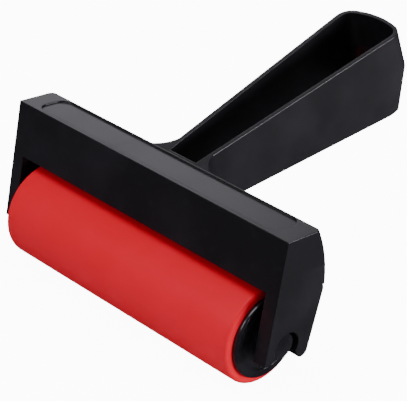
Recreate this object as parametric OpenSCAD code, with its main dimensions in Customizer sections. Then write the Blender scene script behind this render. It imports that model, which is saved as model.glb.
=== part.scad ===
// Hand brayer: a rubber-covered roller that snaps into a one-piece moulded frame.
// The origin is the middle of the roller's axis. +X runs along the roller,
// +Y runs back along the handle and +Z points up, square to the top of the frame.

/* [Roller] */
// Length of the rubber face
roller_len = 100; // [40:1:200]
// Outside diameter of the rubber
roller_d = 32; // [26:0.5:60]
// Thickness of the rubber sleeve
rubber_t = 2.7; // [1.5:0.1:5]
// Wall of the tube that carries the rubber
core_wall = 2.1; // [1.2:0.1:3]
// How far each end cap's rim stands out past the rubber
cap_out = 1.6; // [1:0.1:3]
// How far each end cap's hub stands out past the rubber
hub_out = 3.7; // [2.5:0.1:8]
// How far each end cap's spigot plugs into the tube
spigot_len = 9; // [4:0.5:16]
// Diameter of the pin on each end cap
pin_d = 8.5; // [5:0.1:10]

/* [Fits] */
// Gap between an end cap's hub and the arm beside it
cap_gap = 0.5; // [0.3:0.1:3]
// Radial gap between a pin and its slot
slot_gap = 0.55; // [0.3:0.05:1]
// How much narrower the mouth of a slot is than its pin
snap = 0.3; // [0:0.05:0.6]
// How far a pin's end sits below the outside of its arm
pin_inset = 1.2; // [0.4:0.1:2.5]
// Gap between the top of the rubber and the lower edge of the hood
hood_gap = 2; // [1:0.5:6]

/* [Frame] */
// Thickness of each arm
arm_t = 4.7; // [3:0.1:8]
// Height of the hood from its lower edge to its top
hood_h = 17.5; // [10:0.1:30]
// Depth of the hood across its flat top
hood_top = 13.6; // [10:0.1:24]
// How far the hood's top starts in front of the roller's axis
hood_lead = 5.1; // [0:0.1:8]
// Forward lean of the hood's front, in degrees
front_lean = 5.2; // [0:0.1:15]
// Radius of the hood's rounded back
hood_back_r = 40; // [30:1:80]
// Wall of the hood's front and back
hood_wall = 2.2; // [1.5:0.1:4]
// Thickness of the hood's top
hood_roof = 2.6; // [1.5:0.1:4]
// Depth of the sunk panel in the hood's top
panel_depth = 0.5; // [0.2:0.1:1]
// Number of stiffening ribs inside the hood
rib_count = 5; // [0:1:9]
// Thickness of each rib
rib_t = 1.4; // [0.8:0.1:3]

/* [Handle] */
// Length of the handle along its sloping rim
handle_len = 92.7; // [60:0.5:140]
// Angle of the rim above the hood's top, in degrees
rim_rise = 18.7; // [5:0.1:25]
// Angle by which the band gets deeper towards its end, in degrees
band_flare = 8; // [0:0.1:12]
// Depth of the band where it leaves the hood
band_root = 16.9; // [10:0.1:24]
// Width of the handle where it leaves the hood
handle_w_root = 14.1; // [10:0.1:30]
// Width of the handle near its end
handle_w_end = 25.4; // [14:0.1:50]
// Wall of the handle's band
band_wall = 1.4; // [1.2:0.1:4]
// Radius of the handle's end seen from above
end_r = 26; // [14:0.5:60]
// Radius of the handle's two end corners seen from above
tip_round = 5.5; // [2.2:0.1:9]
// Radius of the handle's lower end corner seen from the side
tip_lower_r = 10; // [1:0.5:14]
// Radius of the blend where the handle meets the hood
root_fillet = 11; // [2:0.5:14]

/* [Hidden] */

$fn = 96;
far = 400;

// Roller
roller_r = roller_d / 2;
core_r = roller_r - rubber_t;
core_bore = core_r - core_wall;
pin_r = pin_d / 2;
rim_w = 2.6;
rim_round = 0.8;
dish_depth = 1.1;
hub_r = pin_r + 2.2;
pin_ease = 0.5;
spigot_wall = 1.8;
sleeve_round = 1.25;

// Places along X
flange_x = roller_len / 2;
cap_x = flange_x + cap_out;
hub_x = flange_x + hub_out;
arm_x = hub_x + cap_gap;
side_x = arm_x + arm_t;
pin_x = side_x - pin_inset;

// Hood, in the side view (Y, Z)
hood_z0 = roller_r + hood_gap;
hood_z1 = hood_z0 + hood_h;
front_y = -hood_lead;
back_y = front_y + hood_top;
hood_tail = 1.2;
corner_r = 1.6;
back_cz = hood_z0 - 3;
back_cy = back_y - sqrt(pow(hood_back_r, 2) - pow(hood_z1 - back_cz, 2));
panel_side = 6.6;
panel_edge = 0.6;
panel_front = 1.4;
panel_round = 4;
rib_lift = 3;

// Arms, in the side view (Y, Z)
slot_r = pin_r + slot_gap;
mouth = pin_d - snap;
leg_z = 0.95 - slot_r;
toe_w = 2.2;
hook_r = 2.35;
hook_z = 1.8 - slot_r;
hook_y = slot_r + hook_r - 0.25;
heel_z = hood_z0 - 2.4;
heel_step = 1.1;

// Handle
rim_drop = 1.2;
rim_z = hood_z1 - rim_drop;
bite = 1.5;
crown_drop = 12.7;
crown_lean = rim_rise + 8.4;
taper = atan((handle_w_end - handle_w_root) / 2 / handle_len);
root_w = handle_w_root / 2;
end_y = back_y + handle_len * cos(rim_rise) + crown_drop * tan(crown_lean);
inner_root = 2.1;
skin_spare = 0.3;
lead_in = 20;

// Y of the hood's leaning front at height z
function lean_y(z) = front_y - (hood_z1 - z) * tan(front_lean);

// Y of the hood's rounded back at height z
function back_at(z) = back_cy + sqrt(pow(hood_back_r, 2) - pow(z - back_cz, 2));

// Half width of the handle at distance s along its rim
function half_w(s) = root_w + s * tan(taper);

// Points of an arc about centre c, from angle a0 to a1 in n steps
function arc(c, r, a0, a1, n) =
    [for (i = [0 : n]) let (a = a0 + (a1 - a0) * i / n) c + r * [cos(a), sin(a)]];

// Turns a side-view outline (Y, Z) into a slab between two places along X
module slab(x0, x1) {
    translate([x0, 0, 0]) rotate([90, 0, 90]) linear_extrude(x1 - x0) children();
}

// Turns a half section (radius, distance along X) about the roller's axis
module turned() {
    rotate([0, 90, 0]) rotate_extrude() children();
}

// Hood seen from the side; inset moves its front and back in, roof moves its top down
// and lift moves its lower edge up
module hood_outline(inset = 0, roof = 0, lift = 0) {
    top = hood_z1 - roof;
    low = hood_z0 + lift;
    tail = low - hood_tail;
    intersection() {
        polygon([
            [lean_y(low) + inset, low], [back_at(hood_z0), tail], [far, tail],
            [far, top], [lean_y(top) + inset, top]
        ]);
        translate([back_cy, back_cz]) circle(hood_back_r - inset, $fn = 360);
    }
}

// One arm's leg below the hood: front leg, slot for the pin and the hook behind it
module leg_outline() {
    heel_y = back_at(hood_z0) - heel_step;
    hook_lean = atan2(heel_y - hook_y - hook_r, heel_z - hook_z);
    difference() {
        polygon(concat(
            [[lean_y(hood_z0) + 1, hood_z0 + 2], [lean_y(hood_z0), hood_z0]],
            [[lean_y(leg_z), leg_z], [lean_y(leg_z) + toe_w, leg_z], [0, 0]],
            arc([hook_y, hook_z], hook_r, 180, 360 - hook_lean, 20),
            [[heel_y, heel_z], [back_y - 1, hood_z1 - 1]]
        ));
        circle(slot_r);
        translate([-mouth / 2, -far]) square([mouth, far]);
    }
}

// Rounded rectangle of the sunk panel in the hood's top
module panel_outline() {
    x = side_x - panel_side - panel_round;
    y0 = front_y + panel_front + panel_round;
    y1 = back_y - panel_edge - panel_round;
    union() {
        translate([-x - panel_round, y0]) square([2 * (x + panel_round), y1 - y0]);
        translate([-x, y0 - panel_round]) square([2 * x, y1 - y0 + 2 * panel_round]);
        for (px = [-x, x], py = [y0, y1]) translate([px, py]) circle(panel_round);
    }
}

// Handle seen square to its rim: tapered sides, a round end and rounded corners.
// inset moves the whole outline in, start and reach are where it begins and ends,
// and spare sets its sides out
module band_outline(inset, start, reach, spare = 0) {
    mid = reach - end_r;
    r = tip_round - inset;
    side = (root_w + spare) * cos(taper) - tip_round + mid * sin(taper);
    run = sqrt(pow(end_r - tip_round, 2) - pow(side, 2));
    px = side * cos(taper) + run * sin(taper);
    py = mid - side * sin(taper) + run * cos(taper);
    turn = atan2(py - mid, px);
    foot = half_w(start) + spare - inset / cos(taper);
    polygon(concat(
        [[foot, start]],
        arc([px, py], r, -taper, turn, 8),
        arc([0, mid], end_r - inset, turn, 180 - turn, 24),
        arc([-px, py], r, 180 - turn, 180 + taper, 8),
        [[-foot, start]]
    ));
}

// Side view of the band (Y, Z): rim above, deepening edge below, rounded lower corner
module band_profile() {
    drop = rim_rise - band_flare;
    y0 = back_y - bite;
    low = rim_z - band_root / cos(rim_rise) - bite * tan(drop);
    r = tip_lower_r;
    cy = end_y - r;
    cz = low + (cy - y0) * tan(drop) + r / cos(drop);
    union() {
        polygon([
            [y0, low], [cy + r * sin(drop), cz - r * cos(drop)], [cy, cz],
            [end_y, cz], [end_y, rim_z + (end_y - back_y) * tan(rim_rise)],
            [y0, rim_z - bite * tan(rim_rise)]
        ]);
        translate([cy, cz]) circle(r);
    }
}

// A tall column of an outline laid on a slope that starts where the rim meets the hood
module column(slope) {
    translate([0, back_y, rim_z]) rotate([slope, 0, 0])
        translate([0, 0, -far / 4]) linear_extrude(far / 2) children();
}

// Everything inside the band's outer skin, or its inner skin when inset by the wall,
// from start along the rim. The upper part of the end leans back from its rim and the
// lower part stands upright
module band_space(inset, start) {
    intersection() {
        column(crown_lean)
            band_outline(inset, -lead_in, handle_len * cos(crown_lean - rim_rise));
        column(0) band_outline(inset, -lead_in, end_y - back_y, skin_spare);
        column(rim_rise) translate([-far / 2, start]) square(far);
    }
}

// Blends that spread the handle's sides into the hood's back
module root_blends() {
    for (side = [0, 1]) mirror([side, 0]) difference() {
        translate([root_w - 1, -bite]) square([root_fillet + 1, root_fillet + bite]);
        translate([root_w + root_fillet, root_fillet]) circle(root_fillet);
    }
}

module handle() {
    intersection() {
        union() {
            band_space(0, -bite);
            column(rim_rise) root_blends();
        }
        slab(-far / 2, far / 2) band_profile();
    }
}

module hood_ribs() {
    pitch = 2 * arm_x / (rib_count + 1);
    for (i = [1 : 1 : rib_count])
        slab(-arm_x + i * pitch - rib_t / 2, -arm_x + i * pitch + rib_t / 2)
            hood_outline(hood_wall / 2, hood_roof / 2, rib_lift);
}

module frame() {
    color("#202024") difference() {
        union() {
            difference() {
                union() {
                    slab(-side_x, side_x) hood_outline();
                    for (x = [-side_x, arm_x]) slab(x, x + arm_t) leg_outline();
                    handle();
                }
                slab(-arm_x, arm_x) hood_outline(hood_wall, hood_roof, -1);
            }
            hood_ribs();
        }
        band_space(band_wall, inner_root);
        translate([0, 0, hood_z1 - panel_depth]) linear_extrude(far) panel_outline();
        back_corners();
    }
}

// Rounds the two edges where the hood's back meets its ends
module back_corners() {
    r = corner_r;
    intersection() {
        translate([0, back_cy, back_cz]) for (side = [0, 1]) mirror([side, 0, 0]) turned()
            difference() {
                translate([hood_back_r - r, side_x - r]) square([r + 1, r + 1]);
                translate([hood_back_r - r, side_x - r]) circle(r);
            }
        translate([-far / 2, 0, hood_z0 - hood_tail]) cube([far, far, far]);
    }
}

module core_tube() {
    color("#2a2a2e") turned() translate([core_bore, -roller_len / 2])
        square([core_wall, roller_len]);
}

module rubber_sleeve() {
    color("#cc2834") turned() union() {
        translate([core_r, -roller_len / 2])
            square([rubber_t - sleeve_round, roller_len]);
        translate([core_r, sleeve_round - roller_len / 2])
            square([rubber_t, roller_len - 2 * sleeve_round]);
        for (x = [sleeve_round - roller_len / 2, roller_len / 2 - sleeve_round])
            translate([roller_r - sleeve_round, x]) circle(sleeve_round);
    }
}

// Half section of an end cap: flange with a rounded rim, dish, hub, pin and spigot
module cap_section() {
    union() {
        translate([0, flange_x]) square([core_r, cap_out - dish_depth]);
        translate([core_r - rim_w, flange_x]) square([rim_w - rim_round, cap_out]);
        translate([core_r - rim_w, flange_x]) square([rim_w, cap_out - rim_round]);
        translate([core_r - rim_round, cap_x - rim_round]) circle(rim_round);
        translate([0, flange_x]) square([hub_r, hub_out]);
        polygon([
            [0, flange_x], [pin_r, flange_x], [pin_r, pin_x - pin_ease],
            [pin_r - pin_ease, pin_x], [0, pin_x]
        ]);
        translate([core_bore - spigot_wall, flange_x - spigot_len])
            square([spigot_wall, spigot_len + cap_out - dish_depth]);
    }
}

module end_cap() {
    turned() cap_section();
}

module left_end_cap() {
    color("#26262b") mirror([1, 0, 0]) end_cap();
}

module right_end_cap() {
    color("#26262b") end_cap();
}

frame();
core_tube();
rubber_sleeve();
left_end_cap();
right_end_cap();
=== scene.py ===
import math

import bmesh
import bpy
from mathutils import Matrix, Vector


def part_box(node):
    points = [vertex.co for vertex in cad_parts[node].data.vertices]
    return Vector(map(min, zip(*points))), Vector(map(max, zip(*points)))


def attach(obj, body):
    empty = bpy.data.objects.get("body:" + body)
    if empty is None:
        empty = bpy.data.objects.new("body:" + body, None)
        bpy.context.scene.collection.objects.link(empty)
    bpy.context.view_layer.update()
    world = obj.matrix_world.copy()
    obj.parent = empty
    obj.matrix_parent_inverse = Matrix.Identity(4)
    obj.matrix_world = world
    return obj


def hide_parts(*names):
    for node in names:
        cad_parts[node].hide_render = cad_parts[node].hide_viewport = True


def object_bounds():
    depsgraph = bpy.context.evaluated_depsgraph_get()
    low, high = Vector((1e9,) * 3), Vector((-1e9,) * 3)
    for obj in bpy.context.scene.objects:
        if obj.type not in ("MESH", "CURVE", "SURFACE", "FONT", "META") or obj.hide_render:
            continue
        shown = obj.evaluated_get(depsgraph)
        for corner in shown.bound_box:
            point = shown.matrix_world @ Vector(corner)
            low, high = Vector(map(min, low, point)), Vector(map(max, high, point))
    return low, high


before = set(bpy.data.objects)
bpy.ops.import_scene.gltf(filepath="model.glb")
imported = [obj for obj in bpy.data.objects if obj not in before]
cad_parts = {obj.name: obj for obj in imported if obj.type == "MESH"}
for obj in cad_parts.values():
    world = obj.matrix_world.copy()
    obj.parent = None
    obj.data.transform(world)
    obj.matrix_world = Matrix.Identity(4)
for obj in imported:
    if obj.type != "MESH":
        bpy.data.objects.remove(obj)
cad_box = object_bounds()

MM = 0.001
FLOOR_GLOW = 11.0  # how bright the floor and the air behind it look to the camera
AIR_LIGHT = 0.07  # how much the air lights the pieces
SLEEVE_EASE = 1.25 * MM  # rounding of the rubber's two ends
SLEEVE_STEPS = 160  # facets round the rubber
SMOOTH_BELOW = 38  # degrees
MOULD_EDGE = 0.4 * MM
FINE_EDGE = 0.2 * MM

# Colours of the mouldings and the rubber, linear
BLACK_MOULDING = (0.0042, 0.0040, 0.0054)
SCUFFED_MOULDING = (0.018, 0.0172, 0.0215)
BLACK_CAP = (0.006, 0.006, 0.0075)
SCUFFED_CAP = (0.022, 0.022, 0.025)
CORE_BLACK = (0.012, 0.012, 0.013)
RED_RUBBER = (0.66, 0.001, 0.014)
WORN_RUBBER = (0.70, 0.006, 0.026)


# ---------------------------------------------------------------- shader effects

def new_effect(name, inputs, outputs):
    """An empty shader node group with named number sockets and its two end nodes."""
    group = bpy.data.node_groups.new(name, "ShaderNodeTree")
    for label, value in inputs:
        socket = group.interface.new_socket(
            name=label, in_out="INPUT", socket_type="NodeSocketFloat"
        )
        socket.default_value = value
    for label in outputs:
        group.interface.new_socket(name=label, in_out="OUTPUT", socket_type="NodeSocketFloat")
    return group, group.nodes.new("NodeGroupInput"), group.nodes.new("NodeGroupOutput")


def link(tree, start, end):
    tree.links.new(start, end)


def spark_grain():
    """The fine pebbled grain that a spark-eroded mould leaves on a moulding."""
    group, given, made = new_effect(
        "spark grain", [("Scale", 1800.0), ("Softness", 0.5)], ["Height"]
    )
    place = group.nodes.new("ShaderNodeTexCoord")
    fine = group.nodes.new("ShaderNodeTexNoise")
    fine.inputs["Detail"].default_value = 3.0
    link(group, place.outputs["Object"], fine.inputs["Vector"])
    link(group, given.outputs["Scale"], fine.inputs["Scale"])
    link(group, given.outputs["Softness"], fine.inputs["Roughness"])
    link(group, fine.outputs["Fac"], made.inputs["Height"])
    return group


def handling_marks():
    """Soft patches and short thin scratches that handling leaves, as a mask from 0 to 1."""
    group, given, made = new_effect(
        "handling marks",
        [("Patch Scale", 60.0), ("Scratch Scale", 420.0), ("Amount", 0.5)], ["Mask"],
    )
    place = group.nodes.new("ShaderNodeTexCoord")
    patch = group.nodes.new("ShaderNodeTexNoise")
    patch.inputs["Detail"].default_value = 4.0
    link(group, place.outputs["Object"], patch.inputs["Vector"])
    link(group, given.outputs["Patch Scale"], patch.inputs["Scale"])
    turn = group.nodes.new("ShaderNodeMapping")
    turn.inputs["Rotation"].default_value = (0.6, 0.3, 0.9)
    turn.inputs["Scale"].default_value = (1.0, 0.06, 1.0)
    link(group, place.outputs["Object"], turn.inputs["Vector"])
    scratch = group.nodes.new("ShaderNodeTexNoise")
    scratch.inputs["Detail"].default_value = 2.0
    link(group, turn.outputs["Vector"], scratch.inputs["Vector"])
    link(group, given.outputs["Scratch Scale"], scratch.inputs["Scale"])
    thin = group.nodes.new("ShaderNodeMapRange")
    thin.inputs["From Min"].default_value = 0.63
    thin.inputs["From Max"].default_value = 0.74
    link(group, scratch.outputs["Fac"], thin.inputs["Value"])
    spread = group.nodes.new("ShaderNodeMapRange")
    spread.inputs["From Min"].default_value = 0.42
    spread.inputs["From Max"].default_value = 0.72
    link(group, patch.outputs["Fac"], spread.inputs["Value"])
    both = group.nodes.new("ShaderNodeMath")
    both.operation = "MULTIPLY_ADD"
    both.inputs[1].default_value = 0.6
    link(group, thin.outputs["Result"], both.inputs[0])
    link(group, spread.outputs["Result"], both.inputs[2])
    scaled = group.nodes.new("ShaderNodeMath")
    scaled.operation = "MULTIPLY"
    scaled.use_clamp = True
    link(group, both.outputs[0], scaled.inputs[0])
    link(group, given.outputs["Amount"], scaled.inputs[1])
    link(group, scaled.outputs[0], made.inputs["Mask"])
    return group


def turned_grain():
    """Fine rings round the roller that grinding leaves in rubber, with a softer pitting."""
    group, given, made = new_effect(
        "turned grain", [("Rings", 2600.0), ("Pits", 900.0)], ["Height"]
    )
    place = group.nodes.new("ShaderNodeTexCoord")
    along = group.nodes.new("ShaderNodeMapping")
    along.inputs["Scale"].default_value = (1.0, 0.03, 0.03)
    link(group, place.outputs["Object"], along.inputs["Vector"])
    rings = group.nodes.new("ShaderNodeTexNoise")
    rings.inputs["Detail"].default_value = 2.0
    link(group, along.outputs["Vector"], rings.inputs["Vector"])
    link(group, given.outputs["Rings"], rings.inputs["Scale"])
    pits = group.nodes.new("ShaderNodeTexNoise")
    pits.inputs["Detail"].default_value = 3.0
    link(group, place.outputs["Object"], pits.inputs["Vector"])
    link(group, given.outputs["Pits"], pits.inputs["Scale"])
    total = group.nodes.new("ShaderNodeMath")
    total.operation = "ADD"
    link(group, rings.outputs["Fac"], total.inputs[0])
    link(group, pits.outputs["Fac"], total.inputs[1])
    link(group, total.outputs[0], made.inputs["Height"])
    return group


GRAIN = spark_grain()
MARKS = handling_marks()
TURNED = turned_grain()


def place_effect(tree, group, values):
    node = tree.nodes.new("ShaderNodeGroup")
    node.node_tree = group
    for label, value in values.items():
        node.inputs[label].default_value = value
    return node


def finish_material(name, plain, worn, rough, marks, relief, relief_depth, edge):
    """A moulded or rubber finish: worn tints the base and changes its roughness where
    marks lie, relief gives the surface its fine bumps, and edge is the radius that its
    outer edges are eased by."""
    material = bpy.data.materials.new(name)
    material.use_nodes = True
    tree = material.node_tree
    surface = tree.nodes["Principled BSDF"]
    mask = place_effect(tree, MARKS, marks)
    tint = tree.nodes.new("ShaderNodeMix")
    tint.data_type = "RGBA"
    tint.inputs[6].default_value = (*plain, 1.0)
    tint.inputs[7].default_value = (*worn, 1.0)
    link(tree, mask.outputs["Mask"], tint.inputs[0])
    link(tree, tint.outputs[2], surface.inputs["Base Color"])
    sheen = tree.nodes.new("ShaderNodeMapRange")
    sheen.inputs["To Min"].default_value = rough[0]
    sheen.inputs["To Max"].default_value = rough[1]
    link(tree, mask.outputs["Mask"], sheen.inputs["Value"])
    link(tree, sheen.outputs["Result"], surface.inputs["Roughness"])
    bump = tree.nodes.new("ShaderNodeBump")
    bump.inputs["Strength"].default_value = 0.5
    bump.inputs["Distance"].default_value = relief_depth
    eased = tree.nodes.new("ShaderNodeBevel")
    eased.samples = 8
    eased.inputs["Radius"].default_value = edge
    link(tree, eased.outputs["Normal"], bump.inputs["Normal"])
    link(tree, place_effect(tree, *relief).outputs["Height"], bump.inputs["Height"])
    link(tree, bump.outputs["Normal"], surface.inputs["Normal"])
    return material, surface


def make_materials():
    mould, surface = finish_material(
        "satin black moulding", BLACK_MOULDING, SCUFFED_MOULDING, (0.34, 0.46),
        {"Patch Scale": 45.0, "Scratch Scale": 300.0, "Amount": 0.35},
        (GRAIN, {"Scale": 2200.0, "Softness": 0.55}), 0.02 * MM, MOULD_EDGE,
    )
    surface.inputs["IOR"].default_value = 1.5
    cap, surface = finish_material(
        "glossy black cap", BLACK_CAP, SCUFFED_CAP, (0.16, 0.34),
        {"Patch Scale": 90.0, "Scratch Scale": 600.0, "Amount": 0.4},
        (GRAIN, {"Scale": 1500.0, "Softness": 0.4}), 0.006 * MM, FINE_EDGE,
    )
    surface.inputs["IOR"].default_value = 1.52
    core, surface = finish_material(
        "plain black tube", CORE_BLACK, SCUFFED_MOULDING, (0.5, 0.65),
        {"Patch Scale": 70.0, "Scratch Scale": 500.0, "Amount": 0.4},
        (GRAIN, {"Scale": 1200.0, "Softness": 0.6}), 0.02 * MM, FINE_EDGE,
    )
    rubber, surface = finish_material(
        "satin red rubber", RED_RUBBER, WORN_RUBBER, (0.46, 0.56),
        {"Patch Scale": 55.0, "Scratch Scale": 350.0, "Amount": 0.4},
        (TURNED, {"Rings": 2600.0, "Pits": 900.0}), 0.012 * MM, FINE_EDGE,
    )
    surface.inputs["IOR"].default_value = 1.5
    surface.inputs["Specular IOR Level"].default_value = 0.15
    return mould, cap, core, rubber


# ---------------------------------------------------------------- pieces

def show(piece, material, body, slot, *nodes):
    piece.data.materials.clear()
    piece.data.materials.append(material)
    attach(piece, body)
    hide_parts(*nodes)
    return piece


def turned_piece(name, section, steps):
    """A piece turned about the roller's axis from its section, a loop of
    (distance along the axis, radius) points in metres."""
    shape = bmesh.new()
    rings = []
    for k in range(steps):
        a = 2 * math.pi * k / steps
        rings.append([
            shape.verts.new((x, r * math.cos(a), r * math.sin(a))) for x, r in section
        ])
    for k in range(steps):
        here, after = rings[k], rings[(k + 1) % steps]
        for i in range(len(section)):
            j = (i + 1) % len(section)
            shape.faces.new((here[i], here[j], after[j], after[i]))
    bmesh.ops.remove_doubles(shape, verts=shape.verts, dist=1e-7)
    bmesh.ops.recalc_face_normals(shape, faces=shape.faces)
    for face in shape.faces:
        face.smooth = True
    mesh = bpy.data.meshes.new(name)
    shape.to_mesh(mesh)
    shape.free()
    mesh.set_sharp_from_angle(angle=math.radians(SMOOTH_BELOW))
    piece = bpy.data.objects.new(name, mesh)
    bpy.context.scene.collection.objects.link(piece)
    return piece


def quarter(cx, cr, radius, start, end, count=6):
    """Points of an arc in a section, angles in degrees from the axis direction."""
    return [
        (cx + radius * math.cos(math.radians(start + (end - start) * i / count)),
         cr + radius * math.sin(math.radians(start + (end - start) * i / count)))
        for i in range(count + 1)
    ]


def make_sleeve(material):
    low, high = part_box("rubber_sleeve")
    reach, outer = high.x, high.z
    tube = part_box("core_tube")[1].z
    ease = SLEEVE_EASE
    section = [(-reach, tube), (-reach, outer - ease)]
    section += quarter(-reach + ease, outer - ease, ease, 180, 90, 8)[1:]
    section += [(-reach + 0.012 + 0.0127 * i, outer) for i in range(7)]
    section += quarter(reach - ease, outer - ease, ease, 90, 0, 8)
    section += [(reach, tube)]
    piece = turned_piece("rubber_face", section, SLEEVE_STEPS)
    return show(piece, material, "roller", "roller_rubber", "rubber_sleeve")


def make_studio():
    scene = bpy.context.scene
    floor_z = cad_box[0][2]
    bpy.ops.mesh.primitive_plane_add(size=8.0, location=(0, 0, floor_z))
    floor = bpy.context.object
    floor.name = "studio_floor"
    pale = bpy.data.materials.new("pale floor")
    pale.use_nodes = True
    tree = pale.node_tree
    surface = tree.nodes["Principled BSDF"]
    surface.inputs["Base Color"].default_value = (0.9, 0.9, 0.9, 1)
    surface.inputs["Roughness"].default_value = 0.9
    surface.inputs["Emission Color"].default_value = (1, 1, 1, 1)
    seen = tree.nodes.new("ShaderNodeLightPath")
    glow = tree.nodes.new("ShaderNodeMath")
    glow.operation = "MULTIPLY"
    glow.inputs[1].default_value = FLOOR_GLOW
    link(tree, seen.outputs["Is Camera Ray"], glow.inputs[0])
    link(tree, glow.outputs[0], surface.inputs["Emission Strength"])
    floor.data.materials.append(pale)
    floor.visible_glossy = False

    world = bpy.data.worlds.new("studio air")
    scene.world = world
    world.use_nodes = True
    world.node_tree.nodes["Background"].inputs["Color"].default_value = (0.93, 0.88, 1.0, 1)
    sky = world.node_tree
    first = sky.nodes.new("ShaderNodeLightPath")
    level = sky.nodes.new("ShaderNodeMath")
    level.operation = "MULTIPLY_ADD"
    level.inputs[1].default_value = FLOOR_GLOW
    level.inputs[2].default_value = AIR_LIGHT
    link(sky, first.outputs["Is Camera Ray"], level.inputs[0])
    link(sky, level.outputs[0], sky.nodes["Background"].inputs["Strength"])

    def softbox(name, place, aim, size, power):
        lamp = bpy.data.lights.new(name, "AREA")
        lamp.shape = "RECTANGLE"
        lamp.size, lamp.size_y = size
        lamp.energy = power
        lamp.color = (0.96, 0.93, 1.0)
        holder = bpy.data.objects.new(name, lamp)
        holder.location = place
        holder.rotation_euler = (Vector(aim) - Vector(place)).to_track_quat("-Z", "Y").to_euler()
        scene.collection.objects.link(holder)

    softbox("back softbox", (-1.08, 0.74, 0.68), (0, 0.02, 0.02), (0.9, 0.6), 2.65)
    softbox("overhead softbox", (0.0, -0.35, 1.25), (0, 0, 0), (1.0, 0.9), 14.6)
    softbox("front softbox", (-0.35, -1.2, 0.75), (0, 0, 0), (0.9, 0.5), 9)
    softbox("side softbox", (1.25, 0.6, 0.2), (0, 0.02, 0.01), (0.8, 0.7), 36)


def make_camera():
    lens = bpy.data.cameras.new("view")
    lens.sensor_width = 36.0
    lens.lens = 152.6
    lens.clip_start = 0.01
    view = bpy.data.objects.new("view", lens)
    place = Vector((0.3318, -0.3318, 0.2510))
    aim = Vector((0.00426, 0.01716, 0.01993))
    straight = (aim - place).to_track_quat("-Z", "Y").to_matrix().to_4x4()
    roll = Matrix.Rotation(math.radians(5.82), 4, "Z")
    view.matrix_world = Matrix.Translation(place) @ straight @ roll
    bpy.context.scene.collection.objects.link(view)
    bpy.context.scene.camera = view


mould, cap, core, rubber = make_materials()
make_sleeve(rubber)
for node, material in (
    ("frame", mould), ("core_tube", core), ("left_end_cap", cap), ("right_end_cap", cap),
):
    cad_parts[node].data.materials.clear()
    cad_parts[node].data.materials.append(material)
make_studio()
make_camera()
